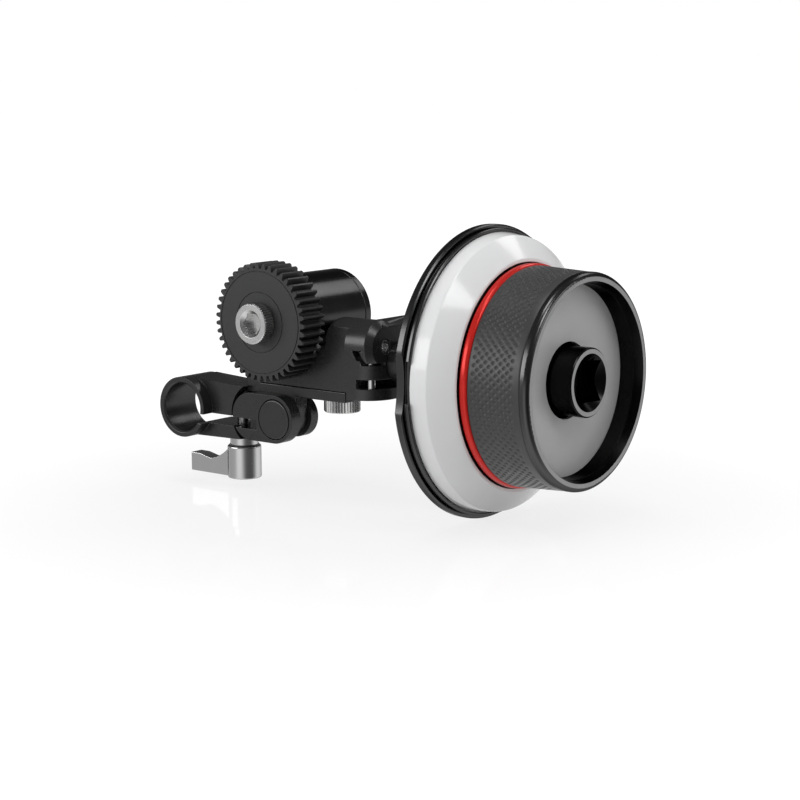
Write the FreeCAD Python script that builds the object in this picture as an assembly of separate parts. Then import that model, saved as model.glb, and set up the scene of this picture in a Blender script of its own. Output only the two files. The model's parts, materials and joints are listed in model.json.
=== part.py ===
import FreeCAD, Part
import math
import os

# Follow focus unit for a 15 mm support rod, in millimetres.
# X runs along the hand wheel axis, Y along the rod and the drive gear axis, Z is up.
# The origin is the centre of the rod bore.

os.makedirs("parts", exist_ok=True)

V = FreeCAD.Vector
X_AXIS = V(1, 0, 0)
Y_AXIS = V(0, 1, 0)
Z_AXIS = V(0, 0, 1)
REACH = 60.0              # long enough for a cut to pass right through

# ---------------------------------------------------------------- fits
run_fit = 0.05            # radial clearance of a shaft or screw that turns or slides
slide_gap = 0.10          # face clearance between pieces that move past each other
thread_fit = 0.02         # radial clearance drawn at a thread or a press seat

# ---------------------------------------------------------------- rod clamp
rod_r = 7.5
rod_fit = 0.05
ring_wall = 2.0
ring_length = 14.7
bore_chamfer = 0.6
arm_front_y = -3.4
arm_rear_y = 8.9
arm_end_x = 20.8
arm_top_z = 8.1
arm_relief_r = 10.1
arm_relief_x = 27.8
arm_bottom_z = -8.6
slit_top_z = -1.5
slit_height = 3.1
slit_end_x = 28.8

# ---------------------------------------------------------------- swing pivot and push button
pivot_x = 36.0
pivot_z = -0.7
ear_r = 6.6
boss_r = 7.4
boss_stretch = 9.6
boss_front_y = -4.4
fork_front_y = -0.1
fork_gap = 5.6
fork_depth = 6.4
button_r = 6.1
button_gap = 0.15
button_proud = 0.2
button_cap = 1.3
button_travel = 1.5
barrel_r = 3.5
barrel_bore_r = 2.5
barrel_bore_depth = 6.0
plug_r = 4.6
plug_thick = 0.6
button_spring_r = 2.1
spring_wire = 0.5

# ---------------------------------------------------------------- clamp screw and lever
lever_x = 17.2
lever_y = 2.75
clamp_screw_r = 2.0
clamp_screw_top_z = 5.6
collar_r = 3.5
collar_height = 2.5
collar_seat_gap = 0.5
seal_r = 4.6
seal_height = 0.4
hub_r = 5.3
hub_height = 10.3
head_r = 3.0
head_height = 2.3
web_thick = 1.2
lever_spring_r = 2.2
lever_screw_r = 1.2
lever_screw_grip = 1.8
lever_screw_head_r = 2.8
lever_screw_head = 1.2
lever_screw_sink = 0.3
finger_reach = 21.0
finger_width = 4.6
finger_tip_length = 3.9
finger_tip_top = 5.9
finger_waist = 4.9
finger_waist_x = 12.6
finger_root = 9.5
finger_root_x = 4.4
scoop_depth = 0.6

# ---------------------------------------------------------------- swing arm
rail_left_x = 21.1
rail_right_x = 60.8
rail_bottom_z = 6.2
rail_height = 3.2
stop_length = 6.0
stop_height = 6.6
rib_width = 8.0
rib_height = 0.8
tongue_r = 5.2
slide_travel = 7.0

# ---------------------------------------------------------------- gear case
case_depth = 24.1
case_end_x = 71.9
case_top_z = 31.3
case_base_z = 22.0
case_shoulder_z = 27.0
case_shoulder_x = 53.2
nose_r = 7.8
nose_y = 5.5
nose_round = 3.2
nose_left_x = 62.4
nose_chamfer = 1.9
nose_slope_length = 4.0
nose_under_z = 22.7
nose_under_x = 62.6
jaw_left_x = 61.0
jaw_bottom_z = 7.4
jaw_top_z = 18.1
jaw_top_round = 6.0
jaw_bottom_round = 9.0
kerf_bottom_z = 10.9
kerf_height = 2.8
kerf_left_x = 65.0
pocket_height = 0.9
pocket_top_z = 22.7
pocket_lean = 1.6
pocket_left_x = 67.0
pocket_width = 2.5
pinch_x = 67.9
pinch_y = 3.7
pinch_r = 1.25
pinch_start_z = 8.0
pinch_length = 13.4
pinch_socket = 1.3
pinch_socket_depth = 1.5
nose_screw_r = 1.5
nose_screw_length = 8.0
nose_screw_head_r = 2.2
nose_screw_head = 2.4
nose_screw_sink = 0.3

# ---------------------------------------------------------------- drive train
normal_module = 0.8
helical_teeth = 10
helical_width = 9.0
helical_backlash = 0.12
drum_x = 35.9
drum_z = 29.6
drum_r = 13.4
drum_length = 24.0
drum_round = 0.8
drum_cap = 3.5
drum_cap_screw_r = 1.0
drum_cap_screw_head_r = 1.9
drum_cap_screw_head = 1.2
drum_cap_screw_length = 7.0
drum_bore_r = 8.4
drum_lip = 1.0
shaft_r = 3.0
bearing_r = 6.5
bearing_width = 5.0
bearing_gap = 0.4
flange_r = 4.6
gear_pocket_r = 7.0
gear_pocket_gap = 0.4
bush_r = 4.5
bush_length = 3.0
spigot_r = 5.6
neck_r = 6.0
neck_length = 29.1
neck_bearing_r = 5.0
neck_bearing_width = 3.0
neck_collar_r = 4.0
wheel_gap = 2.0
neck_spigot = 9.8
clip_r = 4.4
clip_thick = 0.8
clip_recess = 0.5

# ---------------------------------------------------------------- drive gear
gear_module = 0.8
gear_teeth = 43
gear_width = 9.5
gear_gap = 0.5
gear_ring_r = 9.0
gear_line_r = 15.3
gear_groove = 0.25
gear_bevel = 0.35
gear_screw_head_r = 6.25
gear_screw_head = 4.1
gear_screw_r = 2.0
gear_screw_length = 9.0
gear_screw_mouth_r = 4.2
gear_screw_mouth = 1.2
gear_socket = 6.0
gear_socket_depth = 3.2
gear_screw_knurl_count = 48

# ---------------------------------------------------------------- thumb screw
thumb_x = 49.6
thumb_r = 5.7
thumb_height = 5.0
thumb_shank_r = 2.5
thumb_reach = 6.8
thumb_knurl_count = 40
knurl_depth = 0.28
knurl_bevel = 0.4

# ---------------------------------------------------------------- hand wheel
backing_r = 42.5
backing_thick = 4.0
backing_bore_r = 22.0
backing_edge = 2.2
backing_bevel = 0.4
backing_groove = 0.7
backing_groove_depth = 1.6
lip_height = 0.5
lip_setback = 1.0
lip_wall = 0.8
lip_bevel = 0.3
scallop_r = 39.0
scallop_depth = 1.8
scallop_z = 2.0
lip_notch = 11.6
disk_setback = 2.4
disk_bevel = 0.8
disk_edge = 4.8
disk_front = 10.2
disk_front_width = 0.6
disk_gap = 0.05
disk_bore_gap = 0.3
magnet_count = 4
magnet_r = 3.0
magnet_thick = 1.5
seat_r = 32.3
seat_end = 14.4
red_width = 2.5
red_r = 32.1
red_round = 0.9
grip_length = 16.7
grip_rear_r = 31.6
grip_front_r = 30.8
grip_wall = 2.4
rim_r = 30.8
rim_inner_r = 28.2
rim_length = 2.6
rim_round = 1.5
plate_r = 27.4
plate_thick = 1.5
plate_ledge = 1.5
plate_hole_r = 10.9
recess_depth = 7.3
wheel_web = 2.2
wheel_boss_r = 9.85
drive_hub_length = 13.1
hub_proud = 0.1
hub_bevel = 0.4
port_mouth_r = 8.2
port_half = 5.7
port_bulge = 0.2
port_depth = 8.6
hub_screw_r = 2.0
hub_screw_head_r = 3.5
hub_screw_head = 2.0
hub_screw_length = 10.0

# ---------------------------------------------------------------- sizes that follow from those above
ring_r = rod_r + ring_wall
fork_rear_y = fork_front_y + fork_gap
case_left_x = rail_left_x + stop_length + slide_gap
case_bottom_z = rail_bottom_z + rail_height + slide_gap
helical_r = helical_teeth * normal_module / math.cos(math.radians(45)) / 2
wheel_y = case_depth / 2
wheel_z = drum_z - 2 * helical_r
nose_z = case_top_z - nose_r
pocket_left_end = drum_x - helical_width / 2 - gear_pocket_gap
pocket_right_end = drum_x + helical_width / 2 + gear_pocket_gap
neck_end_x = case_end_x + neck_length
seat_x = neck_end_x + wheel_gap
sleeve_r = grip_rear_r - grip_wall
grip_start = seat_end + red_width
rim_start = grip_start + grip_length
rim_face = rim_start + rim_length
plate_face = rim_face - recess_depth
hub_seat = rim_face + hub_proud - drive_hub_length
port_mouth = port_mouth_r - port_half
disk_r = backing_r - disk_setback
disk_inner_r = seat_r + disk_bore_gap
magnet_circle_r = (disk_r + disk_inner_r) / 2
lip_start = backing_edge + backing_bevel + backing_groove
lip_r = backing_r - lip_setback
pocket_low_z = jaw_top_z + pocket_height
collar_top_z = arm_bottom_z
hub_top_z = collar_top_z - collar_height - seal_height
gear_back_y = -gear_gap
gear_front_y = gear_back_y - gear_width


# ---------------------------------------------------------------- shape helpers
def box(x0, x1, y0, y1, z0, z1):
    return Part.makeBox(x1 - x0, y1 - y0, z1 - z0, V(x0, y0, z0))


def rod_x(r, x0, x1, y, z):
    return Part.makeCylinder(r, x1 - x0, V(x0, y, z), X_AXIS)


def rod_y(r, y0, y1, x, z):
    return Part.makeCylinder(r, y1 - y0, V(x, y0, z), Y_AXIS)


def rod_z(r, z0, z1, x, y):
    return Part.makeCylinder(r, z1 - z0, V(x, y, z0), Z_AXIS)


def polygon(points):
    return Part.makePolygon(points + [points[0]])


def prism_y(points, y0, y1):
    wire = polygon([V(x, y0, z) for x, z in points])
    return Part.Face(wire).extrude(V(0, y1 - y0, 0))


def turned_x(points, x, y, z):
    wire = polygon([V(x + s, y, z + r) for s, r in points])
    return Part.Face(wire).revolve(V(x, y, z), X_AXIS, 360)


def turned_y(points, x, y, z):
    wire = polygon([V(x, y + s, z + r) for s, r in points])
    return Part.Face(wire).revolve(V(x, y, z), Y_AXIS, 360)


def turned_z(points, x, y, z):
    wire = polygon([V(x + r, y, z + s) for s, r in points])
    return Part.Face(wire).revolve(V(x, y, z), Z_AXIS, 360)


def wheel_ring(points):
    return turned_x(points, seat_x, wheel_y, wheel_z)


def hex_prism(across, length, centre, axis):
    reach = across / math.sqrt(3)
    corners = [V(reach * math.cos(math.radians(60 * i)), reach * math.sin(math.radians(60 * i)), 0)
               for i in range(6)]
    prism = Part.Face(polygon(corners)).extrude(V(0, 0, length))
    return place(prism, centre, axis)


def place(shape, centre, axis):
    shape.Placement = FreeCAD.Placement(centre, FreeCAD.Rotation(Z_AXIS, axis))
    return shape


def knurled(r, length, count, centre, axis):
    corners = []
    for i in range(2 * count):
        turn = math.pi * i / count
        reach = r - knurl_depth * (i % 2)
        corners.append(V(reach * math.cos(turn), reach * math.sin(turn), 0))
    star = Part.Face(polygon(corners)).extrude(V(0, 0, length))
    envelope = Part.makeCylinder(r, length)
    envelope = envelope.makeChamfer(knurl_bevel, [e for e in envelope.Edges if e.Closed])
    return place(star.common(envelope), centre, axis)


def spring(r, length, turns, centre, axis):
    rise = length - spring_wire - 2 * slide_gap
    path = Part.makeHelix(rise / turns, rise, r)
    turns_of_wire = [math.radians(30 * i) for i in range(12)]
    section = polygon([V(r + spring_wire / 2 * math.cos(a), 0, spring_wire / 2 * math.sin(a))
                       for a in turns_of_wire])
    coil = Part.Wire(path.Edges).makePipeShell([section], True, True)
    return place(coil, centre + axis * (spring_wire / 2 + slide_gap), axis)


def stadium(r, y0, y1):
    left_x = pivot_x - boss_stretch
    shape = rod_y(r, y0, y1, pivot_x, pivot_z)
    shape = shape.fuse(rod_y(r, y0, y1, left_x, pivot_z))
    return shape.fuse(box(left_x, pivot_x, y0, y1, pivot_z - r, pivot_z + r))


def involute_half_angle(r, teeth, pitch_r, pressure, slack):
    base_r = pitch_r * math.cos(pressure)
    lean = math.acos(min(1.0, base_r / r))
    spread = math.tan(pressure) - pressure - (math.tan(lean) - lean)
    return math.pi / (2 * teeth) - slack / (2 * pitch_r) + spread


def tooth_ring(teeth, radii, pitch_r, pressure, slack, turn, z):
    points = []
    for i in range(teeth):
        middle = turn + 2 * math.pi * i / teeth
        halves = [involute_half_angle(r, teeth, pitch_r, pressure, slack) for r in radii]
        flank = list(zip(radii, halves))
        points += [V(r * math.cos(middle - h), r * math.sin(middle - h), z) for r, h in flank]
        points += [V(r * math.cos(middle + h), r * math.sin(middle + h), z) for r, h in reversed(flank)]
    return polygon(points)


def helical_gear(bore_r):
    pressure = math.atan(math.tan(math.radians(20)) / math.cos(math.radians(45)))
    base_r = helical_r * math.cos(pressure)
    radii = [helical_r - normal_module, base_r + 0.1, helical_r, helical_r + 0.9 * normal_module]
    steps = 8
    wires = []
    for i in range(steps + 1):
        z = helical_width * (i / steps - 0.5)
        wires.append(tooth_ring(helical_teeth, radii, helical_r, pressure, helical_backlash,
                                z / helical_r, z))
    blank = Part.makeLoft(wires, True, True)
    bore = Part.makeCylinder(bore_r, 2 * helical_width, V(0, 0, -helical_width))
    return blank.cut(bore)


def save(shape, node):
    shape.removeSplitter().exportStep("parts/" + node + ".step")


# ---------------------------------------------------------------- rod clamp
def clamp_body():
    ring_half = ring_length / 2
    mid_z = pivot_z
    ring = rod_y(ring_r, -ring_half, ring_half, 0, 0)
    arm = prism_y([(0, arm_bottom_z - 0.5), (0, ring_r - 0.2), (arm_end_x, arm_top_z),
                   (arm_end_x, mid_z), (slit_end_x, mid_z), (slit_end_x, arm_bottom_z + 0.8),
                   (arm_end_x, arm_bottom_z)], arm_front_y, arm_rear_y)
    arm = arm.fuse(box(arm_end_x, arm_relief_x, arm_front_y, fork_front_y, mid_z, arm_top_z))
    arm = arm.cut(rod_y(arm_relief_r, -REACH, fork_front_y, arm_relief_x, mid_z))
    body = ring.fuse([arm, stadium(boss_r, boss_front_y, fork_front_y),
                      stadium(ear_r, fork_rear_y, arm_rear_y)])
    root_x = pivot_x - fork_depth
    body = body.fuse(box(arm_end_x, root_x, fork_front_y, fork_rear_y, pivot_z - ear_r, pivot_z + ear_r))
    body = body.cut(box(0, slit_end_x, -REACH, REACH, slit_top_z - slit_height, slit_top_z))
    bore_r = rod_r + rod_fit
    body = body.cut(rod_y(bore_r, -REACH, REACH, 0, 0))
    for end, way in ((-ring_half, 1), (ring_half, -1)):
        cone = turned_y([(0, 0), (0, bore_r + bore_chamfer), (way * bore_chamfer, bore_r),
                         (way * bore_chamfer, 0)], 0, end, 0)
        body = body.cut(cone)
    recess_end = boss_front_y - button_proud + button_cap + button_travel + slide_gap
    body = body.cut(rod_y(button_r + button_gap, -REACH, recess_end, pivot_x, pivot_z))
    body = body.cut(rod_y(barrel_r + run_fit, -REACH, REACH, pivot_x, pivot_z))
    body = body.cut(rod_y(plug_r, arm_rear_y - plug_thick, REACH, pivot_x, pivot_z))
    body = body.cut(rod_z(clamp_screw_r + run_fit, -REACH, clamp_screw_top_z + 0.2, lever_x, lever_y))
    return body.cut(rod_z(collar_r + collar_seat_gap, -REACH, collar_top_z, lever_x, lever_y))


def pivot_plug():
    return rod_y(plug_r, arm_rear_y - plug_thick, arm_rear_y, pivot_x, pivot_z)


def push_button():
    front_y = boss_front_y - button_proud
    end_y = arm_rear_y - plug_thick - button_travel - slide_gap
    cap = rod_y(button_r, front_y, front_y + button_cap, pivot_x, pivot_z)
    rim = [e for e in cap.Edges if e.Closed and abs(e.CenterOfMass.y - front_y) < 1e-6]
    cap = cap.makeChamfer(0.3, rim)
    barrel = rod_y(barrel_r, front_y + button_cap, end_y, pivot_x, pivot_z)
    button = cap.fuse(barrel)
    return button.cut(rod_y(barrel_bore_r, end_y - barrel_bore_depth, end_y, pivot_x, pivot_z))


def button_spring():
    back_y = arm_rear_y - plug_thick
    end_y = back_y - button_travel - slide_gap - barrel_bore_depth
    return spring(button_spring_r, back_y - end_y, 5, V(pivot_x, end_y, pivot_z), Y_AXIS)


def clamp_screw():
    head_top = hub_top_z - slide_gap
    shank = rod_z(clamp_screw_r, head_top, clamp_screw_top_z, lever_x, lever_y)
    head = rod_z(head_r, head_top - head_height, head_top, lever_x, lever_y)
    hole = rod_z(lever_screw_r + thread_fit, head_top - head_height, head_top - head_height
                 + lever_screw_grip, lever_x, lever_y)
    return shank.fuse(head).cut(hole)


def clamp_collar():
    top = collar_top_z - slide_gap
    bottom = collar_top_z - collar_height
    collar = rod_z(collar_r, bottom, top, lever_x, lever_y)
    return collar.cut(rod_z(clamp_screw_r + thread_fit, -REACH, REACH, lever_x, lever_y))


def seal_ring():
    top = collar_top_z - collar_height
    seal = rod_z(seal_r, top - seal_height, top, lever_x, lever_y)
    return seal.cut(rod_z(clamp_screw_r + thread_fit, -REACH, REACH, lever_x, lever_y))


def clamp_lever():
    bottom = hub_top_z - hub_height
    web_top = hub_top_z - slide_gap - head_height - slide_gap
    hub = turned_z([(0, 0), (0, hub_r - 0.3), (0.3, hub_r), (hub_height - 0.3, hub_r),
                    (hub_height, hub_r - 0.3), (hub_height, 0)], lever_x, lever_y, bottom)
    tip_x = lever_x - finger_reach
    waist = V(lever_x - finger_waist_x, 0, bottom + finger_waist)
    root = V(lever_x - finger_root_x, 0, bottom + finger_root)
    tip_edge = V(tip_x + finger_tip_length, 0, bottom + finger_tip_top)
    middle = V((waist.x + root.x) / 2 + scoop_depth, 0, (waist.z + root.z) / 2 - scoop_depth)
    scoop = Part.Arc(waist, middle, root).toShape()
    outline = [V(lever_x, 0, root.z), V(lever_x, 0, bottom), V(tip_x, 0, bottom),
               V(tip_x, 0, tip_edge.z), tip_edge, waist]
    edges = [Part.makeLine(a, b) for a, b in zip(outline, outline[1:])]
    edges += [scoop, Part.makeLine(root, outline[0])]
    face = Part.Face(Part.Wire(edges))
    finger = face.extrude(V(0, finger_width, 0))
    finger.translate(V(0, lever_y - finger_width / 2, 0))
    lever = hub.fuse(finger)
    lever = lever.cut(rod_z(head_r + run_fit, web_top, REACH, lever_x, lever_y))
    lever = lever.cut(rod_z(lever_screw_head_r + run_fit, -REACH, web_top - web_thick, lever_x, lever_y))
    return lever.cut(rod_z(lever_screw_r + run_fit, -REACH, REACH, lever_x, lever_y))


def lever_screw_face_z():
    return hub_top_z - hub_height + lever_screw_sink


def lever_screw():
    bottom = lever_screw_face_z()
    top = hub_top_z - slide_gap - head_height + lever_screw_grip
    head = rod_z(lever_screw_head_r, bottom, bottom + lever_screw_head, lever_x, lever_y)
    shank = rod_z(lever_screw_r, bottom, top, lever_x, lever_y)
    return head.fuse(shank).cut(hex_prism(2.0, 0.8, V(lever_x, lever_y, bottom), Z_AXIS))


def lever_spring():
    top = hub_top_z - 2 * slide_gap - head_height - web_thick
    bottom = lever_screw_face_z() + lever_screw_head
    return spring(lever_spring_r, top - bottom, 2.5, V(lever_x, lever_y, bottom), Z_AXIS)


# ---------------------------------------------------------------- swing arm
def swing_arm():
    rail_top = rail_bottom_z + rail_height
    rail = box(rail_left_x, rail_right_x, 0, case_depth, rail_bottom_z, rail_top)
    stop = box(rail_left_x, rail_left_x + stop_length, 0, case_depth, rail_bottom_z,
               rail_bottom_z + stop_height)
    rib = box(rail_left_x + stop_length, rail_right_x, wheel_y - rib_width / 2,
              wheel_y + rib_width / 2, rail_top, rail_top + rib_height)
    tongue_front = fork_front_y + slide_gap
    tongue_rear = fork_rear_y - slide_gap
    tongue = rod_y(tongue_r, tongue_front, tongue_rear, pivot_x, pivot_z)
    tongue = tongue.fuse(box(pivot_x - tongue_r, pivot_x + tongue_r, tongue_front, tongue_rear,
                             pivot_z, rail_bottom_z))
    arm = rail.fuse([stop, rib, tongue])
    slot_r = thumb_shank_r + run_fit
    slot = rod_z(slot_r, -REACH, REACH, thumb_x, wheel_y)
    slot = slot.fuse(rod_z(slot_r, -REACH, REACH, thumb_x + slide_travel, wheel_y))
    slot = slot.fuse(box(thumb_x, thumb_x + slide_travel, wheel_y - slot_r, wheel_y + slot_r,
                         -REACH, REACH))
    arm = arm.cut(slot)
    return arm.cut(rod_y(barrel_r + run_fit, -REACH, REACH, pivot_x, pivot_z))


# ---------------------------------------------------------------- gear case
def wheel_shaft_bore():
    pocket = rod_x(gear_pocket_r, pocket_left_end, pocket_right_end, wheel_y, wheel_z)
    bush = rod_x(bush_r, pocket_left_end - bush_length, pocket_left_end, wheel_y, wheel_z)
    passage = rod_x(shaft_r + 0.4, pocket_right_end, case_end_x, wheel_y, wheel_z)
    return pocket.fuse([bush, passage])


def jaw_block():
    levels = ((jaw_bottom_z, jaw_bottom_round), (pocket_low_z, jaw_top_round))
    wires = []
    for z, r in levels:
        corner = Part.Arc(V(case_end_x - r, 0, z), V(case_end_x - r * (1 - math.sqrt(0.5)),
                                                    r * (1 - math.sqrt(0.5)), z), V(case_end_x, r, z))
        corners = [V(case_end_x, r, z), V(case_end_x, case_depth, z), V(jaw_left_x, case_depth, z),
                   V(jaw_left_x, 0, z), V(case_end_x - r, 0, z)]
        edges = [Part.makeLine(a, b) for a, b in zip(corners, corners[1:])]
        wires.append(Part.Wire(edges + [corner.toShape()]))
    return Part.makeLoft(wires, True, True)


def nose_bar():
    length = case_end_x - case_shoulder_x
    profile = [(0, 0), (0, nose_r), (length - nose_chamfer, nose_r),
               (length, nose_r - nose_chamfer), (length, 0)]
    bar = turned_x(profile, case_shoulder_x, nose_y, nose_z)
    left_rim = [e for e in bar.Edges if e.Closed and abs(e.CenterOfMass.x - case_shoulder_x) < 1e-6]
    bar = bar.makeFillet(nose_round, left_rim)
    bar = bar.cut(box(case_shoulder_x - 1, nose_left_x, -REACH, 0, 0, REACH))
    low = pocket_low_z
    under = prism_y([(nose_left_x - 1, low - REACH), (nose_left_x - 1, nose_under_z),
                     (nose_under_x, nose_under_z), (pocket_left_x, low),
                     (case_end_x + 1, low), (case_end_x + 1, low - REACH)], -REACH, 0)
    below = box(case_shoulder_x - 1, case_end_x + 1, -REACH, REACH, 0, low)
    return bar.cut(under).cut(below)


def upper_case():
    slope_x = case_end_x - nose_slope_length
    low = pocket_low_z
    shoulder = box(case_shoulder_x, slope_x, 0, case_depth, low, nose_z)
    rear = box(case_shoulder_x, slope_x, nose_y, case_depth, low, case_shoulder_z)
    end = prism_y([(slope_x, low), (slope_x, case_top_z), (case_end_x, case_top_z - nose_chamfer),
                   (case_end_x, low)], nose_y, case_depth)
    return nose_bar().fuse([shoulder, rear, end])


def carriage():
    base = box(case_left_x, jaw_left_x, 0, case_depth, case_bottom_z, case_base_z)
    case = base.fuse([jaw_block(), upper_case()])
    case = case.cut(rod_y(drum_r, -REACH, REACH, drum_x, drum_z))
    case = case.cut(box(case_left_x - 1, jaw_left_x, wheel_y - rib_width / 2 - slide_gap,
                        wheel_y + rib_width / 2 + slide_gap, case_bottom_z - 1,
                        case_bottom_z + rib_height))
    case = case.cut(wheel_shaft_bore())
    case = case.cut(rod_x(spigot_r, case_end_x - neck_spigot, REACH + case_end_x, wheel_y, wheel_z))
    pocket_right_x = pocket_left_x + pocket_width
    pocket = prism_y([(pocket_left_x, jaw_top_z), (case_end_x + 1, jaw_top_z),
                      (case_end_x + 1, pocket_low_z), (pocket_right_x, pocket_low_z),
                      (pocket_right_x - pocket_lean, pocket_top_z),
                      (pocket_left_x - pocket_lean, pocket_top_z)], -REACH, nose_y)
    case = case.cut(pocket)
    case = case.cut(box(kerf_left_x, case_end_x + 1, -REACH, wheel_y, kerf_bottom_z,
                        kerf_bottom_z + kerf_height))
    case = case.cut(rod_z(pinch_r + thread_fit, -REACH, pinch_start_z + pinch_length, pinch_x, pinch_y))
    shank_end = case_end_x - nose_screw_sink - nose_screw_length
    case = case.cut(rod_x(nose_screw_r + thread_fit, shank_end, case_end_x, nose_y, nose_z))
    case = case.cut(rod_x(nose_screw_head_r + thread_fit, case_end_x - nose_screw_sink
                          - nose_screw_head, case_end_x + 1, nose_y, nose_z))
    thumb_top = rail_bottom_z - slide_gap + thumb_reach
    return case.cut(rod_z(thumb_shank_r + run_fit, case_bottom_z - 1, thumb_top + 0.2, thumb_x, wheel_y))


def pinch_screw():
    shank = rod_z(pinch_r, pinch_start_z, pinch_start_z + pinch_length, pinch_x, pinch_y)
    return shank.cut(hex_prism(pinch_socket, pinch_socket_depth, V(pinch_x, pinch_y, pinch_start_z), Z_AXIS))


def nose_screw():
    face_x = case_end_x - nose_screw_sink
    head = rod_x(nose_screw_head_r, face_x - nose_screw_head, face_x, nose_y, nose_z)
    shank = rod_x(nose_screw_r, face_x - nose_screw_length, face_x - nose_screw_head, nose_y, nose_z)
    return head.fuse(shank).cut(hex_prism(2.5, 1.4, V(face_x - 1.4, nose_y, nose_z), X_AXIS))


# ---------------------------------------------------------------- drum and output shaft
def drum_screw_places():
    circle_r = (drum_r + drum_bore_r) / 2
    return [(drum_x + circle_r * math.sin(math.radians(120 * i)),
             drum_z + circle_r * math.cos(math.radians(120 * i))) for i in range(3)]


def drum_housing():
    drum = rod_y(drum_r, 0, drum_length, drum_x, drum_z)
    bearing_end = drum_lip + bearing_width
    drum = drum.cut(rod_y(flange_r + run_fit, -REACH, drum_lip, drum_x, drum_z))
    drum = drum.cut(rod_y(bearing_r, drum_lip, bearing_end, drum_x, drum_z))
    drum = drum.cut(rod_y(drum_bore_r, bearing_end, REACH, drum_x, drum_z))
    for x, z in drum_screw_places():
        drum = drum.cut(rod_y(drum_cap_screw_r + thread_fit, drum_length + drum_cap
                              - drum_cap_screw_length, REACH, x, z))
    return drum.cut(wheel_shaft_bore())


def drum_end_cap():
    rear = drum_length + drum_cap
    spigot = bearing_width + bearing_gap
    whole = spigot + drum_cap
    profile = [(0, 0), (0, drum_bore_r), (spigot, drum_bore_r), (spigot, drum_r),
               (whole - drum_round, drum_r), (whole, drum_r - drum_round), (whole, 0)]
    cap = turned_y(profile, drum_x, drum_length - spigot, drum_z)
    cap = cap.cut(rod_y(bearing_r, -REACH, drum_length - bearing_gap, drum_x, drum_z))
    cap = cap.cut(rod_y(shaft_r + 0.4, -REACH, drum_length + 0.6, drum_x, drum_z))
    for x, z in drum_screw_places():
        cap = cap.cut(rod_y(drum_cap_screw_r + thread_fit, -REACH, REACH, x, z))
        cap = cap.cut(rod_y(drum_cap_screw_head_r + thread_fit, rear - drum_cap_screw_head, REACH, x, z))
    return cap


def drum_cap_screws():
    rear = drum_length + drum_cap
    screws = []
    for x, z in drum_screw_places():
        head = rod_y(drum_cap_screw_head_r, rear - drum_cap_screw_head, rear, x, z)
        shank = rod_y(drum_cap_screw_r, rear - drum_cap_screw_length, rear, x, z)
        socket = hex_prism(1.5, 0.8, V(x, rear - 0.8, z), Y_AXIS)
        screws.append(head.fuse(shank).cut(socket))
    return Part.makeCompound(screws)


def shaft_bearing(rod, r, width, start, a, b):
    ring = rod(r, start, start + width, a, b)
    return ring.cut(rod(shaft_r + run_fit, start, start + width, a, b))


def output_shaft():
    front = gear_front_y + 0.8
    shaft = rod_y(shaft_r, front, drum_length + 0.2, drum_x, drum_z)
    flange = rod_y(flange_r, gear_back_y, drum_lip - slide_gap, drum_x, drum_z)
    hole_end = gear_front_y + gear_screw_length
    return shaft.fuse(flange).cut(rod_y(gear_screw_r + thread_fit, -REACH, hole_end, drum_x, drum_z))


def output_gear():
    gear = helical_gear(shaft_r + thread_fit)
    gear.Placement = FreeCAD.Placement(V(drum_x, wheel_y, drum_z), FreeCAD.Rotation(X_AXIS, -90))
    return gear


def drive_gear():
    pitch_r = gear_module * gear_teeth / 2
    tip_r = pitch_r + gear_module
    radii = [pitch_r - 1.25 * gear_module, pitch_r - 0.5 * gear_module, pitch_r, tip_r]
    wire = tooth_ring(gear_teeth, radii, pitch_r, math.radians(20), 0.05, 0, 0)
    gear = Part.Face(wire).extrude(V(0, 0, gear_width))
    gear.Placement = FreeCAD.Placement(V(drum_x, gear_front_y, drum_z), FreeCAD.Rotation(X_AXIS, -90))
    envelope = turned_y([(0, 0), (0, tip_r - gear_bevel), (gear_bevel, tip_r),
                         (gear_width - gear_bevel, tip_r), (gear_width, tip_r - gear_bevel),
                         (gear_width, 0)], drum_x, gear_front_y, drum_z)
    gear = gear.common(envelope)
    for r in (gear_ring_r, gear_line_r):
        groove = turned_y([(0, r), (0, r + gear_groove), (gear_groove, r + gear_groove),
                           (gear_groove, r)], drum_x, gear_front_y, drum_z)
        gear = gear.cut(groove)
    front = gear_front_y + 0.8
    gear = gear.cut(rod_y(shaft_r + thread_fit, front, REACH, drum_x, drum_z))
    return gear.cut(rod_y(gear_screw_r + run_fit, -REACH, front, drum_x, drum_z))


def gear_screw():
    face_y = gear_front_y - gear_screw_head
    head = knurled(gear_screw_head_r, gear_screw_head, gear_screw_knurl_count,
                   V(drum_x, face_y, drum_z), Y_AXIS)
    shank = rod_y(gear_screw_r, gear_front_y - 0.5, gear_front_y + gear_screw_length - 0.2,
                  drum_x, drum_z)
    mouth = turned_y([(0, 0), (0, gear_screw_mouth_r), (gear_screw_mouth, gear_socket / 2),
                      (gear_screw_mouth, 0)], drum_x, face_y, drum_z)
    socket = hex_prism(gear_socket, gear_socket_depth, V(drum_x, face_y, drum_z), Y_AXIS)
    return head.fuse(shank).cut(mouth).cut(socket)


# ---------------------------------------------------------------- spindle
def spindle_housing():
    neck = rod_x(neck_r, case_end_x, neck_end_x, wheel_y, wheel_z)
    spigot = rod_x(spigot_r, case_end_x - neck_spigot, case_end_x, wheel_y, wheel_z)
    neck = neck.fuse(spigot).cut(rod_x(shaft_r + 0.8, 0, REACH + neck_end_x, wheel_y, wheel_z))
    inner_seat = case_end_x + clip_recess
    inner_end = inner_seat + clip_thick + neck_bearing_width
    neck = neck.cut(rod_x(neck_bearing_r, inner_seat, inner_end, wheel_y, wheel_z))
    return neck.cut(rod_x(neck_bearing_r, neck_end_x - neck_bearing_width, neck_end_x, wheel_y, wheel_z))


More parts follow.
